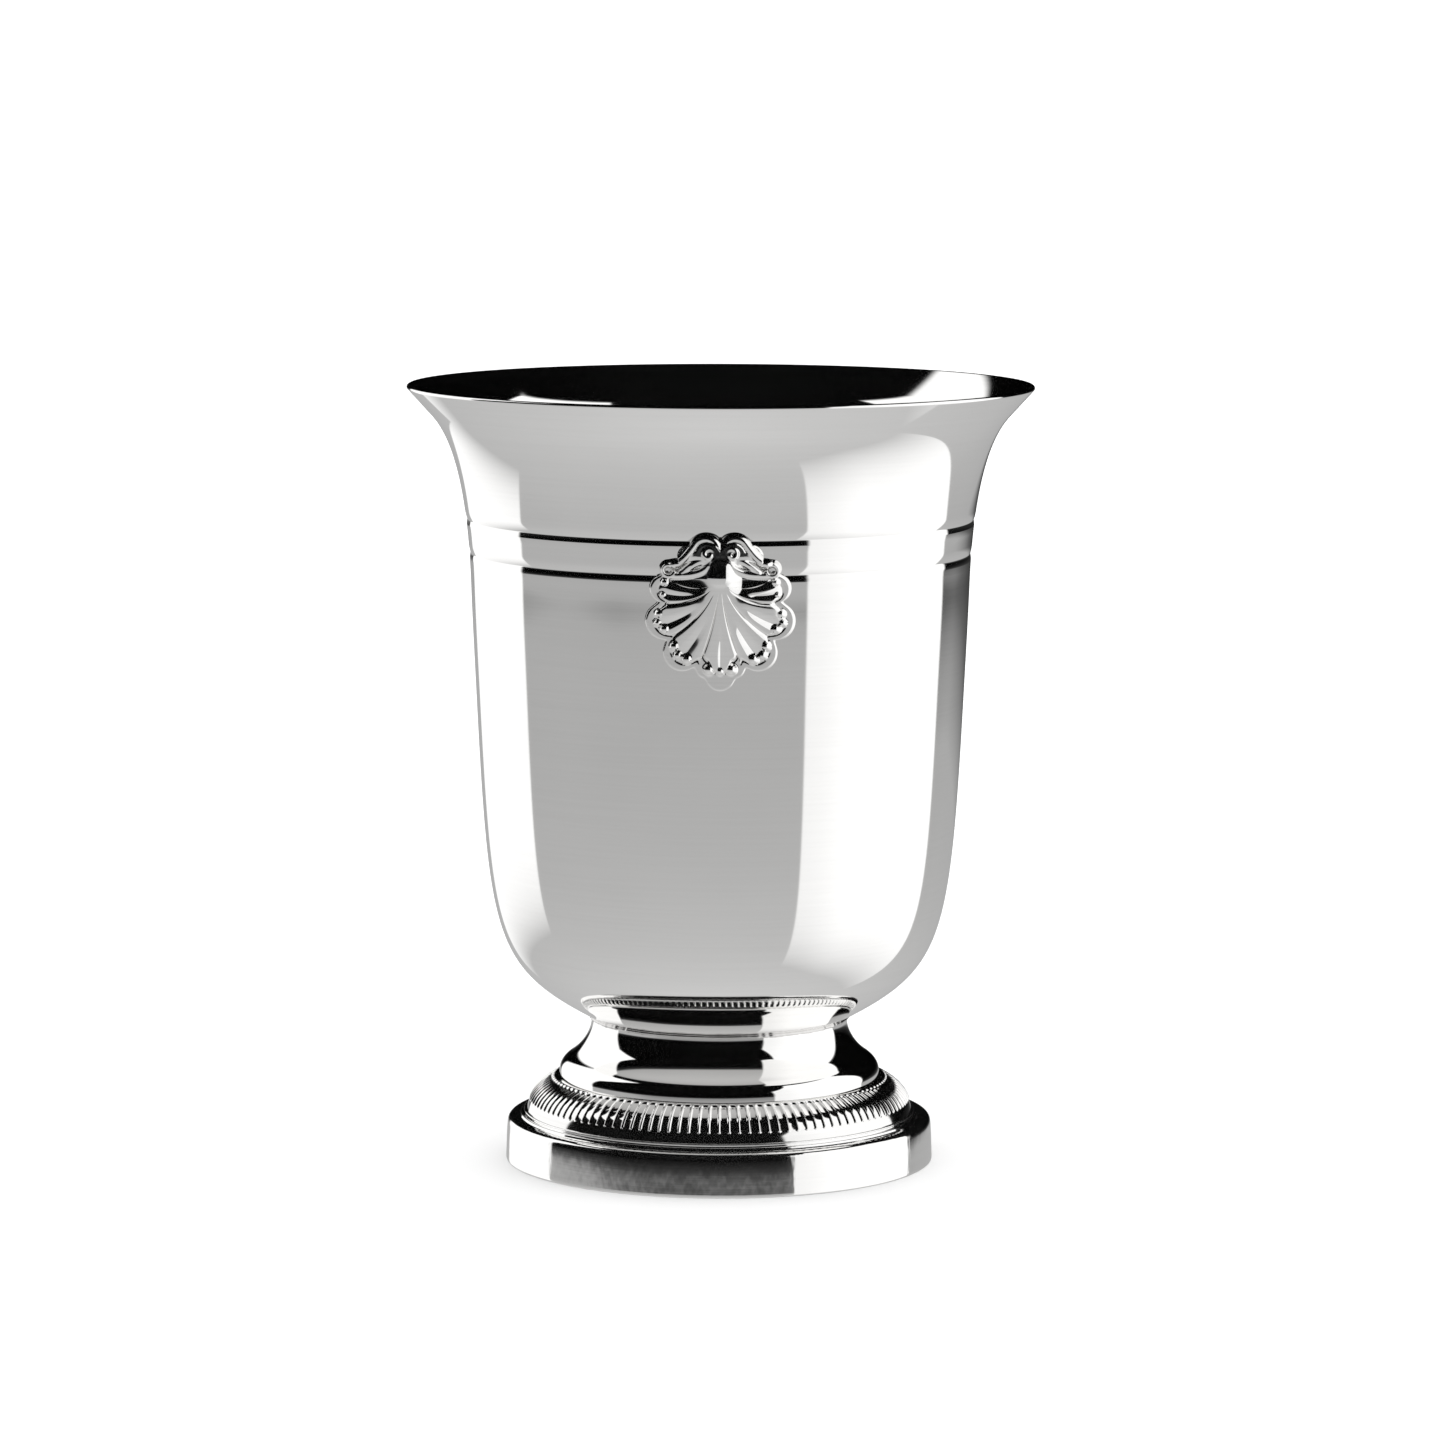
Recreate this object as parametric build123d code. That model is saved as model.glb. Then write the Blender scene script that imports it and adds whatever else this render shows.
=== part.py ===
from build123d import *
import os
from math import cos, radians, sin, tan

# A silver champagne bucket: a spun bowl with a flared lip, two turned lines and a cast
# scallop shell at the front and at the back, on a hollow pedestal foot with a ribbed ring
# and a round plinth. The foot is drawn up to the bowl by a stud and nut hidden inside it.
#
# Frame, in millimetres: +Z up along the axis, origin at the centre of the face the plinth
# rests on, and the front shell faces -Y.

# Driving dimensions of the whole bucket
HEIGHT = 250.0
RIM_RADIUS = 100.0
BOWL_SHEET = 1.4
FOOT_SHEET = 1.5
THROUGH = 2 * HEIGHT  # longer than anything it cuts or covers

# Bowl, as (radius, height) points on its outside, headings there in degrees from straight
# down, negative towards the axis, and how hard the curve is pulled along each heading, above
# the point and below it
LIP_ANGLE = -42.4
LIP_LENGTH = 11.0
LIP_PULL = 5.5
WAIST = (79.64, 186.0)
WAIST_ANGLE = -1.9
WAIST_PULLS = (40.0, 12.0)
BELLY = (78.0, 150.0)
BELLY_ANGLE = -2.75
BELLY_PULLS = (12.0, 81.4)
UNDERSIDE = (40.2, 46.0)
UNDERSIDE_ANGLE = -61.7
UNDERSIDE_PULLS = (36.1, 12.0)
FLOOR_Z = 38.0
FLOOR_RADIUS = 14.0
FLOOR_PULL = 10.0
LINE_HEIGHTS = (206.4, 195.6)
LINE_WIDTH = 1.65
LINE_DEPTH = 0.5

# Foot, from the neck down
NECK_RADIUS = 41.2
NECK_Z = 45.0
NECK_PULL = 2.5
KNEE_TOP = (48.5, 33.5)
KNEE_ANGLE = 56.0
KNEE_TOP_PULL = 6.5
KNEE_RADIUS = 51.6
KNEE_Z = 28.4
KNEE_FULLNESS = 0.37
LEDGE_Z = 26.4
RING_TOP = (52.9, 27.2)
RING_TOP_ANGLE = 66.0
RING_TOP_SLANT = 50.0
RING_TOP_PULL = 6.5
RING_BOTTOM = (62.6, 16.2)
RING_BOTTOM_ANGLE = 14.0
RING_BOTTOM_PULL = 5.5
RING_WALL = 3.0
LEDGE_WIDTH = 1.5
QUIRK_WIDTH = 0.7
QUIRK_DEPTH = 0.3
RIB_COUNT = 120
RIB_WIDTH = 1.0
RIB_HEIGHT = 0.45
RIB_ROOT = 0.3
RIB_TOP_Z = 26.9
RIB_BOTTOM_Z = 19.2
FILLET = (0.6, 1.1)
FILLET_RADIUS = 0.7
COVE = (0.9, 0.2)
COVE_RADIUS = 0.7
SHOULDER_INSET = 2.8
SHOULDER_DROP = 2.1
SHOULDER_ANGLE = 82.0
SHOULDER_PULL = 1.8
PLINTH_RADIUS = 68.8
WALL_TOP_INSET = 0.45
WALL_TOP_DROP = 4.7
WALL_TOP_ANGLE = 4.5
WALL_PULL = 3.0
PLINTH_WALL = 2.2
PLINTH_CROWN_INSET = 1.0
FLANGE_INNER_RADIUS = 60.0
FLANGE_THICKNESS = 1.8
EDGE_RADIUS = 0.6
BEAD_RADIUS = 0.7
BEAD_OFFSET = 0.25
LEDGE_SOLDER_LEG = 1.1
PLINTH_SOLDER_LEG = 1.2

# Fixing inside the foot, an M8 stud with its nut
STUD_RADIUS = 4.0
STUD_HEAD_RADIUS = 13.0
STUD_HEAD_THICKNESS = 2.0
STUD_END_Z = 20.0
STUD_CHAMFER = 0.8
BAR_WIDTH = 20.0
BAR_THICKNESS = 2.5
BAR_TOP_Z = 35.5
HOLE_CLEARANCE = 0.2
THREAD_CLEARANCE = 0.05
WASHER_RADIUS = 7.4
WASHER_THICKNESS = 2.0
WASHER_GAP = 1.2
NUT_ACROSS_FLATS = 13.0
NUT_THICKNESS = 6.5
NUT_CHAMFER = (0.5, 0.9)

# Scallop shell: its lobes fan out from a hub, as (degrees from straight down, reach, half width)
SHELL_HUB_Z = 196.0
SHELL_TOP_Z = 209.8
SHELL_LOBES = (
    (0.0, 35.2, 6.6),
    (30.0, 32.0, 6.0),
    (58.0, 26.7, 6.0),
    (84.0, 21.4, 4.6),
    (103.0, 18.2, 3.2),
)
HUB_RADIUS = 5.0
NOTCH_SHARE = 0.87
VOLUTE_OFFSET = 3.6
VOLUTE_Z = 204.4
VOLUTE_RADIUS = 3.0
CREST_RADIUS = 8.4
SHELL_SOLDER = 0.15
SHELL_PLATE = 1.0
SHELL_LOBE_HEIGHT = 2.6
SHELL_CREST_HEIGHT = 4.6
SHELL_VOLUTE_HEIGHT = 5.6
SHELL_PLATE_RIM = 0.9
SOLDER_RIM = 1.6


def heading(angle):
    """Unit step in a radius-height section, at an angle from straight down."""
    return Vector(sin(radians(angle)), -cos(radians(angle)))


def inward(angle):
    """Unit normal to a heading, on the side of the axis."""
    return Vector(-cos(radians(angle)), -sin(radians(angle)))


def bend(start, start_angle, start_pull, end, end_angle, end_pull):
    """Smooth curve between two points of a section, leaving and arriving at given headings."""
    start_handle = start + heading(start_angle) * start_pull
    end_handle = end - heading(end_angle) * end_pull
    return Bezier(start, start_handle, end_handle, end)


def turned(edges):
    """Solid turned about the axis from the closed outline of a radius-height section."""
    return revolve(Plane.XZ * make_face(edges), Axis.Z)


def mirrored(shape):
    """A shape of the front, turned half way round to the back."""
    return Rot(0, 0, 180) * shape


def bowl_side(inset):
    """The bowl's side from the lip to its flat floor, moved towards the inside by inset."""
    half = BOWL_SHEET / 2
    edge_middle = Vector(RIM_RADIUS - half, HEIGHT - half)
    lip = edge_middle + inward(LIP_ANGLE) * (inset - half)
    lip_root = lip + heading(LIP_ANGLE) * LIP_LENGTH
    waist = Vector(*WAIST) + inward(WAIST_ANGLE) * inset
    belly = Vector(*BELLY) + inward(BELLY_ANGLE) * inset
    underside = Vector(*UNDERSIDE) + inward(UNDERSIDE_ANGLE) * inset
    floor = Vector(FLOOR_RADIUS, FLOOR_Z + inset)
    return [
        Line(lip, lip_root),
        bend(lip_root, LIP_ANGLE, LIP_PULL, waist, WAIST_ANGLE, WAIST_PULLS[0]),
        bend(waist, WAIST_ANGLE, WAIST_PULLS[1], belly, BELLY_ANGLE, BELLY_PULLS[0]),
        bend(belly, BELLY_ANGLE, BELLY_PULLS[1], underside, UNDERSIDE_ANGLE, UNDERSIDE_PULLS[0]),
        bend(underside, UNDERSIDE_ANGLE, UNDERSIDE_PULLS[1], floor, -90.0, FLOOR_PULL),
        Line(floor, Vector(0, floor.Y)),
    ]


def inside_of(inset):
    """Everything enclosed by the bowl's side moved by inset, closed flat across its top."""
    side = bowl_side(inset)
    top = side[0] @ 0
    bottom = side[-1] @ 1
    return turned(side + [Line(bottom, Vector(0, top.Y)), Line(Vector(0, top.Y), top)])


def bowl():
    """Spun bowl: one sheet with a rounded lip edge, a flat floor and two turned lines."""
    outer = bowl_side(0)
    inner = bowl_side(BOWL_SHEET)
    half = BOWL_SHEET / 2
    edge_middle = Vector(RIM_RADIUS - half, HEIGHT - half)
    edge_tip = edge_middle - heading(LIP_ANGLE) * half
    lip_edge = ThreePointArc(outer[0] @ 0, edge_tip, inner[0] @ 0)
    floor_axis = Line(outer[-1] @ 1, inner[-1] @ 1)
    body = turned(outer + inner + [lip_edge, floor_axis])
    for height in LINE_HEIGHTS:
        body -= turned_line(height)
    return body


def wall_radius(height):
    """Outer radius of the bowl's flare at a height."""
    flare = bowl_side(0)[1]
    level = Line((0, height), (THROUGH, height))
    return flare.intersect(level).vertices()[0].X


def turned_line(height):
    """Ring of lens-shaped section that cuts one shallow line around the bowl."""
    radius = wall_radius(height)
    half = LINE_WIDTH / 2
    cutter = (half**2 + LINE_DEPTH**2) / (2 * LINE_DEPTH)
    return Pos(0, 0, height) * Torus(radius + cutter - LINE_DEPTH, cutter)


def seat_height(radius):
    """Height of the neck's conical seat, which touches the bowl along one circle."""
    touch_radius, touch_z = UNDERSIDE
    return touch_z - (radius - touch_radius) / tan(radians(UNDERSIDE_ANGLE))


def pedestal_side(inset):
    """The neck, cavetto and knee of the pedestal, moved towards the inside by inset."""
    top = Vector(NECK_RADIUS - inset, seat_height(NECK_RADIUS - inset))
    neck = Vector(NECK_RADIUS - inset, NECK_Z)
    knee_top = Vector(*KNEE_TOP) + inward(KNEE_ANGLE) * inset
    knee = Vector(KNEE_RADIUS - inset, KNEE_Z)
    knee_pull = KNEE_FULLNESS * (knee - knee_top).length
    return [
        Line(top, neck),
        bend(neck, 0.0, NECK_PULL, knee_top, KNEE_ANGLE, KNEE_TOP_PULL),
        bend(knee_top, KNEE_ANGLE, knee_pull, knee, 0.0, knee_pull),
        Line(knee, Vector(knee.X, LEDGE_Z)),
    ]


def pedestal():
    """Spun neck of the foot, seated on the bowl above and on the ring's ledge below."""
    outer = pedestal_side(0)
    inner = pedestal_side(FOOT_SHEET)
    seat = Line(outer[0] @ 0, inner[0] @ 0)
    rim = Line(outer[-1] @ 1, inner[-1] @ 1)
    return turned(outer + inner + [seat, rim])


def ring_face(inset):
    """Convex face of the gadroon ring from its top edge to its bottom, moved in by inset."""
    top = Vector(*RING_TOP) + inward(RING_TOP_SLANT) * inset
    bottom = Vector(*RING_BOTTOM) - Vector(inset, 0)
    return bend(
        top, RING_TOP_ANGLE, RING_TOP_PULL, bottom, RING_BOTTOM_ANGLE, RING_BOTTOM_PULL
    )


def rib():
    """One raised rib of the gadroon, lying on the ring's face."""
    crest = ring_face(0)
    root = ring_face(RIB_HEIGHT + RIB_ROOT)
    strip = make_face([crest, root, Line(crest @ 0, root @ 0), Line(crest @ 1, root @ 1)])
    middle = (RIB_TOP_Z + RIB_BOTTOM_Z) / 2
    window = Pos(RING_BOTTOM[0], middle) * Rectangle(PLINTH_RADIUS, RIB_TOP_Z - RIB_BOTTOM_Z)
    return extrude(Plane.XZ * (strip & window), RIB_WIDTH / 2, both=True)


def ring_core():
    """The gadroon ring without its ribs: a ledge for the neck, a hollow back, a plain band."""
    flutes = ring_face(RIB_HEIGHT)
    back = ring_face(RING_WALL)
    rebate_z = RING_TOP[1] - QUIRK_DEPTH
    rebate_radius = KNEE_RADIUS + QUIRK_WIDTH
    ledge_radius = KNEE_RADIUS - FOOT_SHEET - LEDGE_WIDTH
    ledge = Polyline(
        back @ 0,
        (ledge_radius, LEDGE_Z - RING_WALL),
        (ledge_radius, LEDGE_Z),
        (rebate_radius, LEDGE_Z),
        (rebate_radius, rebate_z),
        flutes @ 0,
    )
    core = turned([flutes, Line(flutes @ 1, back @ 1), back, *ledge.edges()])
    band = ring_face(0)
    skin = turned([band, flutes, Line(band @ 0, flutes @ 0), Line(band @ 1, flutes @ 1)])
    band_height = RIB_BOTTOM_Z - RING_BOTTOM[1]
    band_space = Pos(0, 0, RING_BOTTOM[1] + band_height / 2) * Cylinder(PLINTH_RADIUS, band_height)
    return core + (skin & band_space)


def gadroon_ring(core):
    """Cast ring with fine ribs down its shoulder."""
    step = 360 / RIB_COUNT
    return core + [Rot(0, 0, step * number) * rib() for number in range(RIB_COUNT)]


def plinth():
    """Round base: two fine fillets, a soft shoulder, a bellied wall and a turned-in flange."""
    ring_radius, land_z = RING_BOTTOM
    land_inner = ring_radius - RING_WALL - LEDGE_WIDTH
    wall_inner = PLINTH_RADIUS - PLINTH_WALL
    fillet_top = Vector(ring_radius, land_z)
    fillet_end = fillet_top + Vector(FILLET[0], -FILLET[1])
    cove_end = fillet_end + Vector(COVE[0], -COVE[1])
    shoulder = Vector(PLINTH_RADIUS - SHOULDER_INSET, land_z - SHOULDER_DROP)
    wall_top = Vector(PLINTH_RADIUS - WALL_TOP_INSET, land_z - WALL_TOP_DROP)
    wall_bottom = Vector(PLINTH_RADIUS, EDGE_RADIUS)
    rest_edge = Vector(PLINTH_RADIUS - EDGE_RADIUS, 0)
    inside = Polyline(
        rest_edge,
        (FLANGE_INNER_RADIUS, 0),
        (FLANGE_INNER_RADIUS, FLANGE_THICKNESS),
        (wall_inner, FLANGE_THICKNESS),
        (wall_inner, land_z - WALL_TOP_DROP),
        (ring_radius - PLINTH_CROWN_INSET, land_z - PLINTH_WALL),
        (land_inner, land_z - PLINTH_WALL),
        (land_inner, land_z),
        fillet_top,
    )
    return turned(
        [
            RadiusArc(fillet_top, fillet_end, -FILLET_RADIUS),
            RadiusArc(fillet_end, cove_end, COVE_RADIUS),
            Line(cove_end, shoulder),
            bend(shoulder, SHOULDER_ANGLE, SHOULDER_PULL, wall_top, WALL_TOP_ANGLE, SHOULDER_PULL),
            bend(wall_top, WALL_TOP_ANGLE, WALL_PULL, wall_bottom, 0.0, WALL_PULL),
            RadiusArc(wall_bottom, rest_edge, EDGE_RADIUS),
            *inside.edges(),
        ]
    )


def solder_fillet(corner, leg):
    """Ring of solder in an inside corner of the foot, its legs running inwards and upwards."""
    radius, height = corner
    return turned(
        Polyline(corner, (radius - leg, height), (radius, height + leg), corner).edges()
    )


def stud_solder():
    """Fillet of solder around the stud's head, under the bowl's floor."""
    leg = FLOOR_RADIUS - STUD_HEAD_RADIUS
    corner = (STUD_HEAD_RADIUS, FLOOR_Z)
    below = (STUD_HEAD_RADIUS, FLOOR_Z - leg)
    return turned(Polyline(corner, (FLOOR_RADIUS, FLOOR_Z), below, corner).edges())


def neck_bead(bowl_space, neck):
    """Bead of solder run around the joint between the bowl and the neck."""
    seam_z = UNDERSIDE[1] + BEAD_OFFSET
    bead = Pos(0, 0, seam_z) * Torus(NECK_RADIUS + BEAD_OFFSET, BEAD_RADIUS)
    return bead - bowl_space - neck


def lobe(angle, reach, half_width, trim):
    """Flat outline of one lobe of the shell, narrower and shorter by trim."""
    wide = half_width - trim
    shoulder = half_width - reach
    root = HUB_RADIUS / 2
    wedge = Polygon((-root, 0), (-wide, shoulder), (wide, shoulder), (root, 0), align=None)
    outline = wedge + Pos(0, shoulder) * Circle(wide)
    return Pos(0, SHELL_HUB_Z) * Rot(0, 0, angle) * outline


def shell_web(trim):
    """Flat fan that joins the lobes, with a corner at each notch between two of them."""
    notches = []
    for (angle, reach, _), (next_angle, next_reach, _) in zip(SHELL_LOBES, SHELL_LOBES[1:]):
        middle = radians((angle + next_angle) / 2)
        notch_reach = NOTCH_SHARE * (reach + next_reach) / 2 - trim
        notches.append((notch_reach * sin(middle), -notch_reach * cos(middle)))
    left = [(-x, y) for x, y in reversed(notches)]
    return Pos(0, SHELL_HUB_Z) * Polygon(*left, *notches, (0, HUB_RADIUS), align=None)


def shell_outline(trim):
    """Flat outline of the whole scallop: a fan of lobes under a round crest."""
    outline = shell_web(trim)
    outline += Pos(0, SHELL_TOP_Z - CREST_RADIUS) * Circle(CREST_RADIUS - trim)
    for angle, reach, half_width in SHELL_LOBES:
        for side in {angle, -angle}:
            outline += lobe(side, reach, half_width, trim)
    return outline


def on_wall(outline, low, high):
    """Solid over a flat outline, from low to high above the bowl's front wall."""
    prism = extrude(Plane.XZ * outline, THROUGH)
    return (prism & inside_of(-high)) - inside_of(-low)


def shell():
    """Cast scallop shell: a thin plate, raised lobes, a domed hub and two volutes on top."""
    foot = SHELL_SOLDER
    body = on_wall(shell_outline(0), foot, foot + SHELL_PLATE)
    body += on_wall(shell_outline(SHELL_PLATE_RIM), foot, foot + SHELL_LOBE_HEIGHT)
    crest = Pos(0, SHELL_TOP_Z - CREST_RADIUS) * Circle(CREST_RADIUS - SHELL_PLATE_RIM)
    body += on_wall(crest, foot, foot + SHELL_CREST_HEIGHT)
    for side in (-1, 1):
        volute = Pos(side * VOLUTE_OFFSET, VOLUTE_Z) * Circle(VOLUTE_RADIUS)
        body += on_wall(volute, foot, foot + SHELL_VOLUTE_HEIGHT)
    return body


def foot_stud():
    """Threaded stud with a wide flat head, soldered by its head to the bowl's floor."""
    head_z = FLOOR_Z - STUD_HEAD_THICKNESS
    head = Pos(0, 0, FLOOR_Z - STUD_HEAD_THICKNESS / 2) * Cylinder(
        STUD_HEAD_RADIUS, STUD_HEAD_THICKNESS
    )
    length = head_z - STUD_END_Z
    shank = Pos(0, 0, head_z - length / 2) * Cylinder(STUD_RADIUS, length)
    end_edge = shank.edges().sort_by(Axis.Z)[0]
    return head + chamfer(end_edge, STUD_CHAMFER)


def bridge_bar():
    """Flat bar across the foot, its ends shaped to bear up on the inside of the cavetto."""
    cavetto = pedestal_side(FOOT_SHEET)[1]
    top = Vector(0, (cavetto @ 0).Y)
    bottom = Vector(0, (cavetto @ 1).Y)
    space = turned(
        [cavetto, Line(cavetto @ 0, top), Line(top, bottom), Line(bottom, cavetto @ 1)]
    )
    middle_z = BAR_TOP_Z - BAR_THICKNESS / 2
    bar = Pos(0, 0, middle_z) * Box(2 * KNEE_RADIUS, BAR_WIDTH, BAR_THICKNESS)
    return (bar & space) - Cylinder(STUD_RADIUS + HOLE_CLEARANCE, THROUGH)


def lock_washer():
    """Split spring washer between the nut and the bar."""
    top_z = BAR_TOP_Z - BAR_THICKNESS
    ring = Circle(WASHER_RADIUS) - Circle(STUD_RADIUS + HOLE_CLEARANCE)
    ring -= Pos(WASHER_RADIUS, 0) * Rectangle(2 * WASHER_RADIUS, WASHER_GAP)
    return Pos(0, 0, top_z) * extrude(ring, -WASHER_THICKNESS)


def foot_nut():
    """Hexagon nut with chamfered corners that draws the foot up to the bowl."""
    top_z = BAR_TOP_Z - BAR_THICKNESS - WASHER_THICKNESS
    flats = RegularPolygon(NUT_ACROSS_FLATS / 2, 6, major_radius=False)
    hexagon = extrude(flats - Circle(STUD_RADIUS + THREAD_CLEARANCE), -NUT_THICKNESS)
    corner = NUT_ACROSS_FLATS / 2 / cos(radians(30))
    envelope = Pos(0, 0, -NUT_THICKNESS / 2) * Cylinder(corner, NUT_THICKNESS)
    rounded = chamfer(envelope.edges().filter_by(GeomType.CIRCLE), *NUT_CHAMFER)
    return Pos(0, 0, top_z) * (hexagon & rounded)


bowl_space = inside_of(0)
neck = pedestal()
core = ring_core()
front_shell = shell()
front_shell_solder = on_wall(shell_outline(SOLDER_RIM), 0, SHELL_SOLDER)
knee_inside = (KNEE_RADIUS - FOOT_SHEET, LEDGE_Z)
ring_inside = (RING_BOTTOM[0] - RING_WALL, RING_BOTTOM[1])

parts = {
    "bowl": bowl(),
    "front_shell": front_shell,
    "rear_shell": mirrored(front_shell),
    "front_shell_solder": front_shell_solder,
    "rear_shell_solder": mirrored(front_shell_solder),
    "neck_solder_bead": neck_bead(bowl_space, neck),
    "pedestal": neck,
    "gadroon_ring": gadroon_ring(core),
    "ledge_solder": solder_fillet(knee_inside, LEDGE_SOLDER_LEG),
    "plinth": plinth(),
    "plinth_solder": solder_fillet(ring_inside, PLINTH_SOLDER_LEG) - core,
    "foot_stud": foot_stud(),
    "stud_solder": stud_solder(),
    "bridge_bar": bridge_bar(),
    "lock_washer": lock_washer(),
    "foot_nut": foot_nut(),
}

os.makedirs("parts", exist_ok=True)
for name, part in parts.items():
    part.label = name
    export_step(part, f"parts/{name}.step")
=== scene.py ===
"""Looks for the silver champagne bucket: turned silver, a ribbed ring, two scallop shells.

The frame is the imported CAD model. Every visible silver piece is rebuilt here as a dense mesh
on the same sections and places as its CAD node. Sections are (radius, height) in millimetres,
and a mesh is scaled to metres when it is made.
"""
import math

import bmesh
import bpy
import numpy as np
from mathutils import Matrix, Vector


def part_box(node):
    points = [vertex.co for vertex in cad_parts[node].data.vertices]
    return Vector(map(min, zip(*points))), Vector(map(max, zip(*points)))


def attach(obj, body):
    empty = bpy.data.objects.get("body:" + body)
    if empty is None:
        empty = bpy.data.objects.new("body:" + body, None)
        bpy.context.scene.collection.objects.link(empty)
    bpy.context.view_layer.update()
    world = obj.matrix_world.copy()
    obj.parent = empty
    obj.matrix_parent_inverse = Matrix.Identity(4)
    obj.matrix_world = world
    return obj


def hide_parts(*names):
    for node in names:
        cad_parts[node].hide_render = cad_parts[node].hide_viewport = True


MM = 0.001
ROOT = "root"

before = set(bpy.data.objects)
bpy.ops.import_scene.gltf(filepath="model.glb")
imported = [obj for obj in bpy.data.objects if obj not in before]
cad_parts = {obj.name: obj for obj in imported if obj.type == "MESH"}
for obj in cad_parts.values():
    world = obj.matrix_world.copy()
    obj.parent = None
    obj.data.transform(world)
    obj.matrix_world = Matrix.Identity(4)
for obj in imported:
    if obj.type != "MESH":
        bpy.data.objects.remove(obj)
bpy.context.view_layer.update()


# ---------------------------------------------------------------- places read from the frame
def node_box(node):
    """Lowest and highest corner of a CAD node, in millimetres."""
    low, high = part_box(node)
    return np.array(low) / MM, np.array(high) / MM


BOWL_LOW, BOWL_HIGH = node_box("bowl")
PEDESTAL_LOW, PEDESTAL_HIGH = node_box("pedestal")
RING_LOW, RING_HIGH = node_box("gadroon_ring")

HEIGHT = BOWL_HIGH[2]
RIM_RADIUS = BOWL_HIGH[0]
FLOOR_Z = BOWL_LOW[2]
KNEE_RADIUS = PEDESTAL_HIGH[0]
LEDGE_Z = PEDESTAL_LOW[2]
RING_TOP_Z = RING_HIGH[2]
RING_FOOT_Z = RING_LOW[2]
RING_FOOT_RADIUS = RING_HIGH[0]
PLINTH_RADIUS = node_box("plinth")[1][0]
SHELL_TOP_Z = node_box("front_shell")[1][2]

SHARP_ANGLE = 40.0  # edges that turn by more than this stay sharp
TURNED_SEGMENTS = 288
PLINTH_SEGMENTS = 360

# Bowl, from the lip down. Angles are headings; pulls are how far each end of a curve keeps to
# its heading
BOWL_SHEET = 1.4
LIP_ANGLE = -42.4
LIP_LENGTH = 11.0
FLARE_PULLS = (5.5, 40.0)
WAIST = np.array((79.64, 186.0))
WAIST_ANGLE = -1.9
WAIST_PULLS = (12.0, 12.0)
BELLY = np.array((78.0, 150.0))
BELLY_ANGLE = -2.75
BELLY_PULLS = (81.4, 36.1)
UNDERSIDE = np.array((40.2, 46.0))
UNDERSIDE_ANGLE = -61.7
UNDERSIDE_PULLS = (12.0, 10.0)
FLOOR_RADIUS = 14.0
FLOOR_ANGLE = -90.0

# The two turned lines: a long easy fall into each one and a short crisp rise out of it
LINE_HEIGHTS = (206.5, 195.7)
LINE_FALL = 3.2
LINE_RISE = 1.65
LINE_DEPTH = 0.36
LINE_EASE = 2.2  # how late the fall steepens

# Pedestal, from the neck down
FOOT_SHEET = 1.5
NECK_RADIUS = 41.2
NECK_Z = 45.0
CAVETTO_PULLS = (2.5, 6.5)
KNEE_TOP = (48.5, 33.5)
KNEE_ANGLE = 56.0
KNEE_Z = 28.4
KNEE_FULLNESS = 0.37

# Ribbed ring: its face, and the ribs raised on it
RING_TOP_RADIUS = 52.9
RING_ANGLES = (66.0, 14.0)
RING_PULLS = (6.5, 5.5)
RIB_COUNT = 120
RIB_HALF = 0.52
RIB_HEIGHT = 0.45
RIB_CREST = 0.08  # radius that rounds a rib's crest
RIB_FULLNESS = 0.4
RIB_COLUMNS = (0.015, 0.035, 0.07, 0.11, 0.15, 0.18, 0.3)  # places beside a crest, in pitches
FLUTE_TOP = 0.75
RIB_BOTTOM_Z = 19.2

# Back of the ring: a band at the foot, a hollow, and a rebated ledge for the pedestal
BAND_WIDTH = 3.0
HOLLOW_TOP = (52.4, 23.4)
HOLLOW_ANGLES = (194.0, 250.0)
HOLLOW_PULLS = (4.5, 4.0)
LEDGE_RADIUS = 48.6
LEDGE_THICKNESS = 2.6
REBATE_GAP = 0.7
REBATE_DROPS = (0.35, 0.1)
REBATE_CHAMFER = 0.25

# Plinth: fillets beside the ring's foot, as (outward, down) from it
FILLET_START = (0.25, 0.0)
UPPER_FILLET = (0.5, 0.35)
UPPER_FILLET_RADIUS = 0.36
FILLET_VALLEY = (0.95, 1.2)
LOWER_FILLET = (1.55, 1.5)
LOWER_FILLET_RADIUS = 0.42
FILLET_END = (2.15, 1.85)

# Plinth: shoulder and wall, set in from the widest radius and down from the ring's foot
TREAD_ANGLES = (80.0, 82.0)
TREAD_PULLS = (0.6, 0.6)
SHOULDER_INSET = 2.8
SHOULDER_DROP = 2.1
SHOULDER_PULLS = (1.8, 1.8)
WALL_TOP_INSET = 0.45
WALL_TOP_DROP = 4.7
WALL_ANGLES = (4.5, 2.0)
WALL_PULLS = (3.0, 5.0)
FOOT_ROUND = 0.6

# Plinth: inside
PLINTH_SHEET = 2.2
FLANGE_RADIUS = 60.0
FLANGE_THICKNESS = 1.8
CROWN_INSET = 1.0
PLINTH_REACH = 4.5  # how far the plinth goes in under the ring

# Bead of solder at the neck, with its unevenness as (amount, waves round it, phase)
BEAD_PLACE = (41.25, 46.25)
BEAD_RADIUS = 0.62
BEAD_SEGMENTS = 420
BEAD_SIDES = 14
BEAD_WAVES = ((0.10, 17, 0.4), (0.08, 41, 2.1), (0.07, 89, 1.3), (0.05, 133, 4.0))


# ---------------------------------------------------------------- sections
def heading(angle):
    """Unit step in a section, at an angle in degrees from straight down."""
    return np.array((math.sin(math.radians(angle)), -math.cos(math.radians(angle))))


def inward(angle):
    """Unit normal to a heading, on the side of the axis."""
    return np.array((-math.cos(math.radians(angle)), -math.sin(math.radians(angle))))


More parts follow.
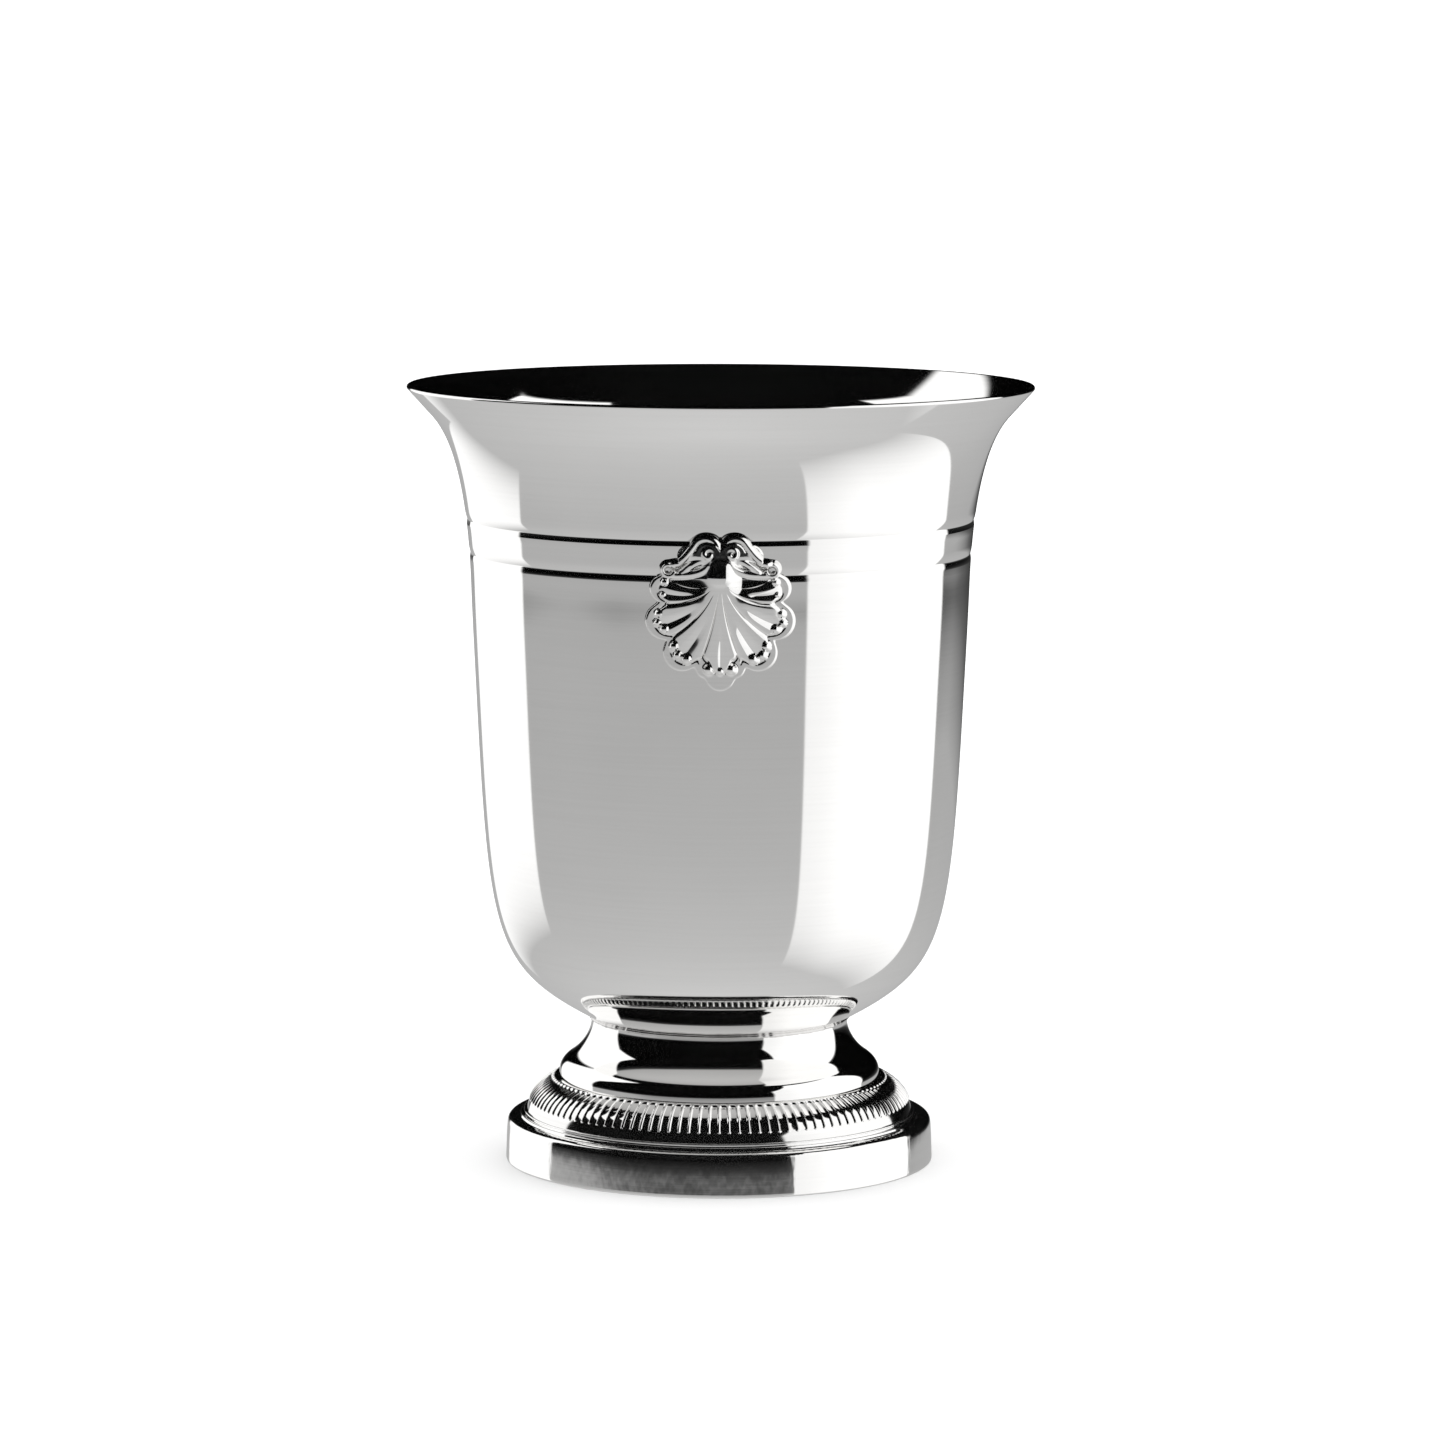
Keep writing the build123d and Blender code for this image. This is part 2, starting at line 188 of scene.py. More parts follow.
def swept(first, second, third, last, count):
    """Points on the smooth curve of four control points."""
    first, second, third, last = (np.asarray(point, float) for point in (first, second, third, last))
    t = np.linspace(0, 1, count)[:, None]
    back = 1 - t
    return back**3 * first + 3 * back**2 * t * second + 3 * back * t**2 * third + t**3 * last


def bend(start, start_angle, end, end_angle, pulls, count):
    """Points on a smooth curve that leaves and arrives at given headings."""
    second = np.asarray(start, float) + heading(start_angle) * pulls[0]
    third = np.asarray(end, float) - heading(end_angle) * pulls[1]
    return swept(start, second, third, end, count)


def arc(centre, radius, start, end, count):
    """Points on a circle's arc; angles in degrees, anticlockwise from outward."""
    turn = np.radians(np.linspace(start, end, count))
    return np.asarray(centre) + radius * np.column_stack((np.cos(turn), np.sin(turn)))


def joined(*pieces):
    """One run of points from several, without the doubled ends."""
    points = np.vstack([np.atleast_2d(np.asarray(piece, float)) for piece in pieces])
    keep = np.ones(len(points), bool)
    keep[1:] = np.linalg.norm(np.diff(points, axis=0), axis=1) > 1e-6
    return points[keep]


def thinned(points, step, turn):
    """Keeps a dense run's points only every step millimetres or turn degrees, and its ends."""
    moves = np.diff(points, axis=0)
    lengths = np.linalg.norm(moves, axis=1)
    angles = np.unwrap(np.arctan2(moves[:, 1], moves[:, 0]))
    turns = np.abs(np.diff(angles, prepend=angles[0]))
    cost = np.concatenate(([0.0], np.cumsum(lengths / step + np.degrees(turns) / turn)))
    whole = np.floor(cost)
    keep = np.concatenate(([True], np.diff(whole) > 0))
    keep[-1] = True
    return points[keep]


def normals_of(points):
    """Outward unit normals of a run of section points that goes downwards."""
    along = np.gradient(points, axis=0)
    along /= np.linalg.norm(along, axis=1)[:, None]
    return np.column_stack((-along[:, 1], along[:, 0]))


# ---------------------------------------------------------------- meshes
def turn_outward(mesh):
    """Makes every face of a closed mesh look outward."""
    work = bmesh.new()
    work.from_mesh(mesh)
    bmesh.ops.recalc_face_normals(work, faces=work.faces)
    work.to_mesh(mesh)
    work.free()


def make_piece(name, points, faces, replaced):
    """A smooth mesh piece that rides on the root body and stands for CAD nodes."""
    mesh = bpy.data.meshes.new(name)
    mesh.from_pydata((np.asarray(points) * MM).tolist(), [], faces)
    turn_outward(mesh)
    mesh.shade_smooth()
    mesh.set_sharp_from_angle(angle=math.radians(SHARP_ANGLE))
    piece = bpy.data.objects.new(name, mesh)
    bpy.context.scene.collection.objects.link(piece)
    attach(piece, ROOT)
    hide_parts(*replaced)
    return piece


def grid_faces(rows, columns, wrap_rows):
    """Quads of a grid that closes round its columns, and round its rows if asked."""
    faces = []
    for row in range(rows if wrap_rows else rows - 1):
        here = row * columns
        there = (row + 1) % rows * columns
        for column in range(columns):
            beside = (column + 1) % columns
            faces.append((here + column, here + beside, there + beside, there + column))
    return faces


def around(section, angles):
    """Grid of points made by turning a section to each angle, zero at the front."""
    radius = section[:, 0][:, None]
    x = radius * np.sin(angles)
    y = -radius * np.cos(angles)
    z = np.repeat(section[:, 1][:, None], len(angles), axis=1)
    return np.stack((x, y, z), axis=-1)


def turned_vessel(section, segments):
    """Points and faces of a turned shape whose section starts and ends on the axis."""
    angles = np.linspace(0, 2 * np.pi, segments, endpoint=False)
    grid = around(section[1:-1], angles)
    rows = len(grid)
    points = grid.reshape(-1, 3).tolist()
    faces = grid_faces(rows, segments, False)
    for section_point, row in ((section[0], 0), (section[-1], rows - 1)):
        hub = len(points)
        points.append((0.0, 0.0, section_point[1]))
        for column in range(segments):
            beside = (column + 1) % segments
            pair = (row * segments + column, row * segments + beside)
            faces.append((hub, pair[1], pair[0]) if row == 0 else (hub, *pair))
    return points, faces


def turned_ring(section, segments):
    """Points and faces of a turned shape whose section is a closed loop off the axis."""
    angles = np.linspace(0, 2 * np.pi, segments, endpoint=False)
    grid = around(section, angles)
    return grid.reshape(-1, 3), grid_faces(len(section), segments, True)


# ---------------------------------------------------------------- bowl
def bowl_side(inset):
    """The bowl's side from the lip down to the middle of its floor, moved in by inset."""
    half = BOWL_SHEET / 2
    middle = np.array((RIM_RADIUS - half, HEIGHT - half))
    lip = middle + inward(LIP_ANGLE) * (inset - half)
    lip_root = lip + heading(LIP_ANGLE) * LIP_LENGTH
    waist = WAIST + inward(WAIST_ANGLE) * inset
    belly = BELLY + inward(BELLY_ANGLE) * inset
    underside = UNDERSIDE + inward(UNDERSIDE_ANGLE) * inset
    floor = np.array((FLOOR_RADIUS, FLOOR_Z + inset))
    return joined(
        lip,
        bend(lip_root, LIP_ANGLE, waist, WAIST_ANGLE, FLARE_PULLS, count=1200),
        bend(waist, WAIST_ANGLE, belly, BELLY_ANGLE, WAIST_PULLS, count=400),
        bend(belly, BELLY_ANGLE, underside, UNDERSIDE_ANGLE, BELLY_PULLS, count=1200),
        bend(underside, UNDERSIDE_ANGLE, floor, FLOOR_ANGLE, UNDERSIDE_PULLS, count=300),
        (0.0, floor[1]),
    )


def line_sink(height):
    """Depth of the turned lines at a height: an easy fall, then a short straight rise."""
    sink = np.zeros_like(height)
    for line in LINE_HEIGHTS:
        valley = line + LINE_RISE / 2
        fall = np.clip((valley + LINE_FALL - height) / LINE_FALL, 0, 1)
        rise = np.clip((height - (line - LINE_RISE / 2)) / LINE_RISE, 0, 1)
        sink += LINE_DEPTH * np.where(height > valley, fall**LINE_EASE, rise)
    return sink


def bowl_section():
    """Closed outline from the outer floor, up over the lip and down to the inner floor."""
    outer = bowl_side(0.0)
    outer = outer - normals_of(outer) * line_sink(outer[:, 1])[:, None]
    inner = bowl_side(BOWL_SHEET)
    half = BOWL_SHEET / 2
    middle = (RIM_RADIUS - half, HEIGHT - half)
    edge = arc(middle, half, LIP_ANGLE, 180 + LIP_ANGLE, count=12)
    return joined(
        thinned(outer[::-1], step=3.0, turn=1.7),
        edge,
        thinned(inner, step=4.0, turn=2.6),
    )


def make_bowl():
    """Spun bowl in one sheet."""
    points, faces = turned_vessel(bowl_section(), TURNED_SEGMENTS)
    return make_piece("bowl_body", points, faces, ["bowl"])


# ---------------------------------------------------------------- foot
def pedestal_side(inset):
    """Neck, cavetto and knee of the pedestal, moved in by inset."""
    neck_radius = NECK_RADIUS - inset
    slope = math.tan(math.radians(UNDERSIDE_ANGLE))
    top = (neck_radius, UNDERSIDE[1] - (neck_radius - UNDERSIDE[0]) / slope)
    neck = (neck_radius, NECK_Z)
    knee_top = np.array(KNEE_TOP) + inward(KNEE_ANGLE) * inset
    knee = np.array((KNEE_RADIUS - inset, KNEE_Z))
    pull = KNEE_FULLNESS * np.linalg.norm(knee - knee_top)
    return joined(
        top,
        neck,
        bend(neck, 0.0, knee_top, KNEE_ANGLE, CAVETTO_PULLS, count=500),
        bend(knee_top, KNEE_ANGLE, knee, 0.0, (pull, pull), count=100),
        (knee[0], LEDGE_Z),
    )


def make_pedestal():
    """Spun neck and cavetto, open at both ends."""
    outer = thinned(pedestal_side(0.0), step=1.2, turn=1.6)
    inner = thinned(pedestal_side(FOOT_SHEET), step=2.0, turn=3.0)
    points, faces = turned_ring(joined(outer[::-1], inner), TURNED_SEGMENTS)
    return make_piece("pedestal_neck", points, faces, ["pedestal"])


def ring_face():
    """Convex face of the ribbed ring from its top edge down to its foot."""
    top = (RING_TOP_RADIUS, RING_TOP_Z)
    foot = (RING_FOOT_RADIUS, RING_FOOT_Z)
    return bend(top, RING_ANGLES[0], foot, RING_ANGLES[1], RING_PULLS, count=600)


def ring_back():
    """Unseen side of the ribbed ring, from its foot up to its top edge."""
    foot = (RING_FOOT_RADIUS - BAND_WIDTH, RING_FOOT_Z)
    rebate = KNEE_RADIUS + REBATE_GAP
    low_drop, high_drop = REBATE_DROPS
    return joined(
        bend(foot, HOLLOW_ANGLES[0], HOLLOW_TOP, HOLLOW_ANGLES[1], HOLLOW_PULLS, count=8),
        (LEDGE_RADIUS, LEDGE_Z - LEDGE_THICKNESS),
        (LEDGE_RADIUS, LEDGE_Z),
        (rebate, LEDGE_Z),
        (rebate, RING_TOP_Z - low_drop),
        (rebate + REBATE_CHAMFER, RING_TOP_Z - high_drop),
    )


def rib_relief(lateral, down, pitch, rib_end):
    """Height of the ribs over the flute floor, from places across one pitch and down the face."""
    flute = pitch / 2 - RIB_HALF
    side = np.hypot(lateral, RIB_CREST) - RIB_CREST
    beside = pitch / 2 - side
    above = FLUTE_TOP + flute - down
    arch = np.where(above > 0, np.hypot(beside, above), beside) - flute
    tip = RIB_HALF - np.hypot(side, np.maximum(down - rib_end, 0))
    onto = np.clip(np.where(down > rib_end, tip, arch) / RIB_HALF, 0, 1)
    return RIB_HEIGHT * onto * (1 + RIB_FULLNESS - RIB_FULLNESS * onto)


def make_gadroon_ring():
    """Ring with a row of upright ribs; its columns gather at each rib."""
    face = thinned(ring_face(), step=0.26, turn=3.0)
    normal = normals_of(face)
    down = np.concatenate(([0.0], np.cumsum(np.linalg.norm(np.diff(face, axis=0), axis=1))))
    half = np.array(RIB_COLUMNS)
    across = np.concatenate(((0.0,), half, (0.5,), 1 - half[::-1]))
    pitch_angle = 2 * np.pi / RIB_COUNT
    angles = ((np.arange(RIB_COUNT)[:, None] + across) * pitch_angle).ravel()
    place = np.where(across > 0.5, across - 1, across)
    lateral = np.tile(place, RIB_COUNT)[None, :] * pitch_angle * face[:, 0][:, None]
    pitch = (pitch_angle * face[:, 0])[:, None]
    rib_end = np.interp(-RIB_BOTTOM_Z, -face[:, 1], down) - RIB_HALF
    lift = rib_relief(lateral, down[:, None], pitch, rib_end) - RIB_HEIGHT
    radius = face[:, 0][:, None] + normal[:, 0][:, None] * lift
    height = face[:, 1][:, None] + normal[:, 1][:, None] * lift
    front = np.stack((radius * np.sin(angles), -radius * np.cos(angles), height), axis=-1)
    grid = np.concatenate((around(ring_back(), angles), front))
    points = grid.reshape(-1, 3)
    faces = grid_faces(len(grid), len(angles), True)
    return make_piece("ribbed_ring", points, faces, ["gadroon_ring"])


def beside_ring(outward, down):
    """Place in a section, outward of the ring's foot between its ribs and down from it."""
    return RING_FOOT_RADIUS - RIB_HEIGHT + outward, RING_FOOT_Z - down


def plinth_outside():
    """Two fine fillets, soft shoulder, bellied wall and rounded foot of the plinth."""
    tread_angle, shoulder_angle = TREAD_ANGLES
    wall_angle, foot_angle = WALL_ANGLES
    shoulder = (PLINTH_RADIUS - SHOULDER_INSET, RING_FOOT_Z - SHOULDER_DROP)
    wall_top = (PLINTH_RADIUS - WALL_TOP_INSET, RING_FOOT_Z - WALL_TOP_DROP)
    wall_foot = (PLINTH_RADIUS, FOOT_ROUND)
    return joined(
        beside_ring(-PLINTH_REACH, 0.0),
        beside_ring(*FILLET_START),
        arc(beside_ring(*UPPER_FILLET), UPPER_FILLET_RADIUS, 100, -30, count=12),
        beside_ring(*FILLET_VALLEY),
        arc(beside_ring(*LOWER_FILLET), LOWER_FILLET_RADIUS, 140, 15, count=12),
        bend(beside_ring(*FILLET_END), tread_angle, shoulder, shoulder_angle, TREAD_PULLS, count=12),
        bend(shoulder, shoulder_angle, wall_top, wall_angle, SHOULDER_PULLS, count=200),
        bend(wall_top, wall_angle, wall_foot, foot_angle, WALL_PULLS, count=200),
        arc((PLINTH_RADIUS - FOOT_ROUND, FOOT_ROUND), FOOT_ROUND, 0, -90, count=20),
    )


def plinth_inside():
    """Turned-in flange, wall and crown of the plinth, seen from below."""
    wall = PLINTH_RADIUS - PLINTH_SHEET
    return joined(
        (FLANGE_RADIUS, 0.0),
        (FLANGE_RADIUS, FLANGE_THICKNESS),
        (wall, FLANGE_THICKNESS),
        (wall, RING_FOOT_Z - WALL_TOP_DROP),
        (RING_FOOT_RADIUS - CROWN_INSET, RING_FOOT_Z - PLINTH_SHEET),
        beside_ring(-PLINTH_REACH, PLINTH_SHEET),
    )


def make_plinth():
    """Spun base that the ring stands on."""
    outer = thinned(plinth_outside(), step=1.0, turn=3.0)
    points, faces = turned_ring(joined(outer, plinth_inside())[::-1], PLINTH_SEGMENTS)
    return make_piece("round_plinth", points, faces, ["plinth"])


def make_neck_bead():
    """Thin bead of solder, uneven round its length."""
    angles = np.linspace(0, 2 * np.pi, BEAD_SEGMENTS, endpoint=False)
    wobble = sum(amount * np.sin(waves * angles + phase) for amount, waves, phase in BEAD_WAVES)
    turn = np.linspace(0, 2 * np.pi, BEAD_SIDES, endpoint=False)
    radius = (BEAD_RADIUS * (1 + wobble))[None, :]
    ring_radius = BEAD_PLACE[0] + radius * np.cos(turn)[:, None]
    height = BEAD_PLACE[1] + radius * np.sin(turn)[:, None]
    grid = np.stack((ring_radius * np.sin(angles), -ring_radius * np.cos(angles), height), axis=-1)
    faces = grid_faces(BEAD_SIDES, BEAD_SEGMENTS, True)
    return make_piece("neck_bead", grid.reshape(-1, 3), faces, ["neck_solder_bead"])


# ---------------------------------------------------------------- shells
# The scallop shell is drawn flat, as (across, up) from a hub in its throat, on its right half
SHELL_HUB_Z = SHELL_TOP_Z - 13.8
SHELL_GAP = 0.15  # thickness of the solder under it
SHELL_COLUMNS = 720

# Rows of its sheet, as shares of the way from the hub to the edge, closest together at the edge
FRONT_SHARES = np.concatenate((np.linspace(0, 0.95, 105)[1:], np.linspace(0.957, 1, 9)))
BACK_SHARES = np.array((0.75, 0.5, 0.25))
SHEET_TURNS = (0.3, 0.2, 0.5)  # shares of its angle at which a column leaves: below, beside, above

# Circles whose far sides make the outline: (across, up, radius)
SHELL_ROUNDS = (
    (0.0, -30.6, 4.6),
    (4.2, -27.8, 3.6),
    (11.8, -23.2, 5.9),
    (17.3, -13.5, 5.9),
    (17.5, -3.4, 4.4),
    (15.9, 2.7, 3.0),
    (9.0, 6.2, 4.4),
    (4.6, 8.2, 5.7),
)
SHELL_NOTCHES = (14.5, 40.8, 68.0, 93.2)  # degrees from straight down
SHELL_BORDERS = (5.6, 3.0, 2.8, 2.4)  # plain border outside each lobe's ribs

# Beads at the ribs' tips and drops between them: (across, up, radius), and (base, crown) heights
SHELL_BEADS = (
    (3.5, -28.3, 1.5),
    (10.2, -25.1, 1.5),
    (14.1, -21.2, 1.4),
    (17.1, -15.9, 1.4),
    (18.8, -11.2, 1.3),
    (17.6, -5.2, 1.1),
    (17.0, -1.4, 1.3),
)
SHELL_DROPS = ((0.0, -28.7, 1.1), (13.1, -23.9, 1.1), (19.3, -14.0, 1.0))
BEAD_HEIGHTS = (1.3, 1.0)
DROP_HEIGHTS = (1.5, 0.8)

# Thin plate under the relief, with a groove just inside its plain border
PLATE = 1.15
PLATE_RISE = 0.02  # how much thicker it is for each millimetre upward
PLATE_EDGE = 0.8  # width of its rounded edge
GROOVE_DEPTH = 0.12
GROOVE_INSET = 0.25
GROOVE_HALF = 0.35

# Fan of lobes: heights above the wall, and falls for each millimetre away from the hub
HUB_HEIGHT = 5.4
FAN_FALL = (0.13, 0.115)  # outward and downward
UPPER_FALL = 0.05  # further outward fall in the upper half
CREST_FALL = 0.1  # upward
CREST_LEAN = 0.2  # upward, for the bands that lie on it
CREST_START = 4.0  # height over the hub at which the bands begin to lean
UPPER_HALF = (80.0, 125.0)  # degrees from straight down between which the upper half begins
CHEEK_DEPTH = 1.7  # hollow on each side of the throat
CHEEK_ACROSS = (2.0, 7.0)  # distances between which it deepens
CHEEK_FOOT = (-9.0, 1.0)
CHEEK_TOP = (3.0, 7.0)
FAN_EDGE = 1.2  # width of the fan's rounded edge
FAN_BASE = 0.05  # how far that edge starts below the plate
SHELL_DEPTH = 7.0  # most that the relief can reach
SHELL_EDGE = 1.4  # width over which the edge keeps the relief below that

# Grooves of the fan, between the lobes and between the two ribs of each lobe
LOBE_GROOVE = 0.55
LOBE_SHARPNESS = 12
RIB_GROOVE = 0.62
RIB_SHARPNESS = 1.4
RIBS_PART = (0.40, 0.70)  # shares of a lobe's length between which its ribs part
GROOVE_WIDTH = 0.5  # share of half a lobe
MIDDLE_GROOVE_WIDTH = 0.24
CARVED_FROM = (3.5, 12.0)  # distances from the hub between which the grooves begin

# Bands of the upper half: (half width, base height at each end, crown height)
SCROLL_BAND = (1.6, (2.9, 2.5), 1.9)
VOLUTE_BAND = (1.0, (3.3, 4.2), 1.3)
THROAT_BAND = (4.2, (2.3, 3.7), 2.2)
LEAF_BAND = (1.5, (2.6, 1.8), 1.2)
FLANK_BAND = (1.3, (3.2, 1.5), 1.3)
CURL_BAND = (1.05, (2.0, 1.4), 1.5)
BAND_ROUND = 0.75  # half gives a round back, one a parabola
BAND_FILLET = 0.2
OUTSIDE = -9.0  # height given where a band has nothing to add

# Paths of the bands: circles as (centre, radius), other curves by their control points
SCROLL_CENTRE = (4.6, 8.2)
SCROLL_RADIUS = 4.1
SCROLL_TAIL = ((9.6, 8.4), (11.6, 5.4), (14.4, 4.5))
VOLUTE_CENTRE = np.array((3.6, 7.6))
VOLUTE_RADII = (2.25, 0.7)
VOLUTE_TURN = (225, -150)
THROAT_PATH = ((0.0, 8.5), (0.0, 0.4))
LEAF_PATH = ((5.8, 5.6), (7.6, 5.4), (9.6, 3.6), (11.6, 1.8))
FLANK_PATH = ((2.9, 5.6), (3.6, 2.4), (7.0, 0.9), (14.6, 0.8))
CURL_CENTRE = (15.9, 2.4)
CURL_RADIUS = 1.8


def rounded(share):
    """Quarter-round from zero to one as the share goes from zero to one."""
    return np.sqrt(1 - (1 - np.clip(share, 0, 1)) ** 2)


def smooth_step(value, low, high):
    """Zero below low, one above high, and smooth between."""
    share = np.clip((value - low) / (high - low), 0, 1)
    return share**2 * (3 - 2 * share)


def blended(first, second, soft=0.12):
    """The larger of two heights, with a small fillet where they meet."""
    return (first + second + np.sqrt((first - second) ** 2 + soft**2)) / 2


def shell_reach(angles):
    """Distance from the hub to the outline in each direction, with softened notches."""
    across, up = np.sin(angles), -np.cos(angles)
    reach = np.zeros_like(angles)
    for x, z, radius in SHELL_ROUNDS:
        for side in (-1, 1):
            along = across * side * x + up * z
            room = radius**2 - (across * z - up * side * x) ** 2
            far = along + np.sqrt(np.maximum(room, 0))
            reach = np.maximum(reach, np.where(room > 0, far, 0))
    for _ in range(6):
        reach = (np.roll(reach, 1) + 2 * reach + np.roll(reach, -1)) / 4
    return reach


def stroke(x, z, path, width, base, crown):
    """Height of a round-backed band along a path; its base changes evenly from end to end."""
    bases = np.linspace(*base, len(path))
    nearest = np.full_like(x, np.inf)
    height = np.full_like(x, OUTSIDE)
    for start, end, low, high in zip(path[:-1], path[1:], bases[:-1], bases[1:]):
        run = end - start
        share = np.clip(((x - start[0]) * run[0] + (z - start[1]) * run[1]) / (run @ run), 0, 1)
        away = np.hypot(x - start[0] - share * run[0], z - start[1] - share * run[1])
        back = np.maximum(1 - (away / width) ** 2, 0) ** BAND_ROUND
        top = np.where(away < width, low + share * (high - low) + crown * back, OUTSIDE)
        height = np.where(away < nearest, top, height)
        nearest = np.minimum(nearest, away)
    return height


def lobe_ribs(angles, share):
    """Sink of the ribs' sides below their flat backs, and the plain border outside each lobe."""
    sink = np.zeros_like(share)
    border = np.full_like(angles, SHELL_BORDERS[-1])
    degrees = np.degrees(np.abs(angles))
    lobe_starts = (-SHELL_NOTCHES[0], *SHELL_NOTCHES[:-1])
    parted = smooth_step(share, *RIBS_PART)
    for low, high, width in zip(lobe_starts, SHELL_NOTCHES, SHELL_BORDERS):
        inside = (degrees >= low) & (degrees < high)
        middle = (low + high) / 2
        groove = MIDDLE_GROOVE_WIDTH if low < 0 else GROOVE_WIDTH
        across = np.where(inside, np.abs(degrees - middle) / (high - middle), 0)
        between_lobes = LOBE_GROOVE * across**LOBE_SHARPNESS
        between_ribs = RIB_GROOVE * parted * np.maximum(1 - across / groove, 0) ** RIB_SHARPNESS
        sink = np.where(inside, between_lobes + between_ribs, sink)
        border = np.where(inside, width, border)
    return sink, border


def shell_strokes():
    """Bands of the shell's upper half: (path, half width, base heights, crown height)."""
    turn = np.radians(np.linspace(*VOLUTE_TURN, 36))
    radii = np.linspace(*VOLUTE_RADII, len(turn))[:, None]
    volute = VOLUTE_CENTRE + radii * np.column_stack((np.cos(turn), np.sin(turn)))
    over = arc(SCROLL_CENTRE, SCROLL_RADIUS, 190, 30, count=20)
    down = swept(over[-1], *SCROLL_TAIL, count=20)
    curl = arc(CURL_CENTRE, CURL_RADIUS, 125, -160, count=24)
    return (
        (joined(over, down), *SCROLL_BAND),
        (volute, *VOLUTE_BAND),
        (np.array(THROAT_PATH), *THROAT_BAND),
        (swept(*LEAF_PATH, count=16), *LEAF_BAND),
        (swept(*FLANK_PATH, count=24), *FLANK_BAND),
        (curl, *CURL_BAND),
    )


def fan_dome(mirrored, z, upper):
    """Height of the fan's smooth back, before any groove is cut in it."""
    outward, downward = FAN_FALL
    dome = HUB_HEIGHT - (outward + UPPER_FALL * upper) * mirrored + downward * np.minimum(z, 0)
    beside_throat = smooth_step(z, *CHEEK_FOOT) * (1 - smooth_step(z, *CHEEK_TOP))
    cheek = CHEEK_DEPTH * smooth_step(mirrored, *CHEEK_ACROSS) * beside_throat
    return dome - CREST_FALL * np.maximum(z, 0) - cheek


def shell_relief(x, z, angles, share, reach):
    """Height of the cast shell above the bowl's wall at each point of its sheet."""
    from_edge = reach * (1 - share)
    mirrored = np.abs(x)
    upper = smooth_step(np.degrees(np.abs(angles)), *UPPER_HALF)
    sink, border = lobe_ribs(angles, share)
    across_groove = (from_edge - border + GROOVE_INSET) / GROOVE_HALF
    groove = GROOVE_DEPTH * np.maximum(1 - across_groove**2, 0) * (1 - upper)
    plate = PLATE + PLATE_RISE * z - groove
    carve = smooth_step(np.hypot(x, z), *CARVED_FROM) * (1 - upper)
    above_plate = fan_dome(mirrored, z, upper) - carve * sink - plate
    fan = above_plate * rounded((from_edge - border) / FAN_EDGE)
    height = blended(plate, plate + fan - FAN_BASE)
    for bumps, (base, crown) in ((SHELL_BEADS, BEAD_HEIGHTS), (SHELL_DROPS, DROP_HEIGHTS)):
        for bump_x, bump_z, radius in bumps:
            away = np.hypot(mirrored - bump_x, z - bump_z) / radius
            height = np.maximum(height, base + crown * (1 - away**2))
    lean = CREST_LEAN * np.maximum(z - CREST_START, 0)
    for path, width, base, crown in shell_strokes():
        band = stroke(mirrored, z, path, width, base, crown) - lean
        height = blended(height, band, BAND_FILLET)
    most = SHELL_DEPTH * rounded(from_edge / SHELL_EDGE)
    return np.minimum(height, most) * rounded(from_edge / PLATE_EDGE)


def wall_place(x, z, height):
    """Points at a height above the bowl's plain wall, in front of flat places."""
    side = bowl_side(0.0)
    radius = np.interp(-(SHELL_HUB_Z + z), -side[:, 1], side[:, 0]) + height
    return np.stack((x, -np.sqrt(radius**2 - x**2), SHELL_HUB_Z + z), axis=-1)


def shell_sheet(angles, share, reach):
    """Flat places of the sheet: its columns leave the hub steeply and curve outwards."""
    turned = np.degrees(np.abs(angles))
    below, beside, above = SHEET_TURNS
    turn = below + beside * smooth_step(turned, 10, 45) + above * smooth_step(turned, 90, 140)
    first = angles * turn
    pull = share * (1 - share)
    x = reach * (pull * np.sin(first) + share**2 * np.sin(angles))
    z = -reach * (pull * np.cos(first) + share**2 * np.cos(angles))
    return x, z


def make_shell(name, node, solder, turned_round):
    """Cast scallop shell as one closed sheet, sculpted in front and smooth behind."""
    angles = np.linspace(-np.pi, np.pi, SHELL_COLUMNS, endpoint=False)
    reach = shell_reach(angles)
    share = FRONT_SHARES[:, None]
    x, z = shell_sheet(angles, share, reach)
    front = wall_place(x, z, SHELL_GAP + shell_relief(x, z, angles + 0 * share, share, reach))
    x, z = shell_sheet(angles, BACK_SHARES[:, None], reach)
    back = wall_place(x, z, SHELL_GAP)
    grid = np.concatenate((front, back))
    points = grid.reshape(-1, 3)
    faces = grid_faces(len(grid), SHELL_COLUMNS, False)
    hubs = (front[0].mean(axis=0), back[-1].mean(axis=0) * (0, 1, 1))
    last = len(points) - SHELL_COLUMNS
    for hub, start in ((len(points), 0), (len(points) + 1, last)):
        for column in range(SHELL_COLUMNS):
            beside = (column + 1) % SHELL_COLUMNS
            faces.append((hub, start + column, start + beside))
    points = np.vstack((points, hubs))
    if turned_round:
        points = points * (-1, -1, 1)
    return make_piece(name, points, faces, [node, solder])


# ---------------------------------------------------------------- node helpers
def new_tree(material):
    """Empties a material's or world's node tree and returns it."""
    material.use_nodes = True
    tree = material.node_tree
    tree.nodes.clear()
    return tree


def feed(tree, socket, value):
    """Sets an input to a number or links it to an output."""
    if isinstance(value, bpy.types.NodeSocket):
        tree.links.new(value, socket)
    else:
        socket.default_value = value


def calc(tree, operation, *values):
    """A math node's result."""
    node = tree.nodes.new("ShaderNodeMath")
    node.operation = operation
    for socket, value in zip(node.inputs, values):
        feed(tree, socket, value)
    return node.outputs[0]


def ease(tree, value, low, high):
    """Zero below low, one above high, and smooth between."""
    node = tree.nodes.new("ShaderNodeMapRange")
    node.interpolation_type = "SMOOTHSTEP"
    feed(tree, node.inputs["Value"], value)
    node.inputs["From Min"].default_value = low
    node.inputs["From Max"].default_value = high
    return node.outputs["Result"]


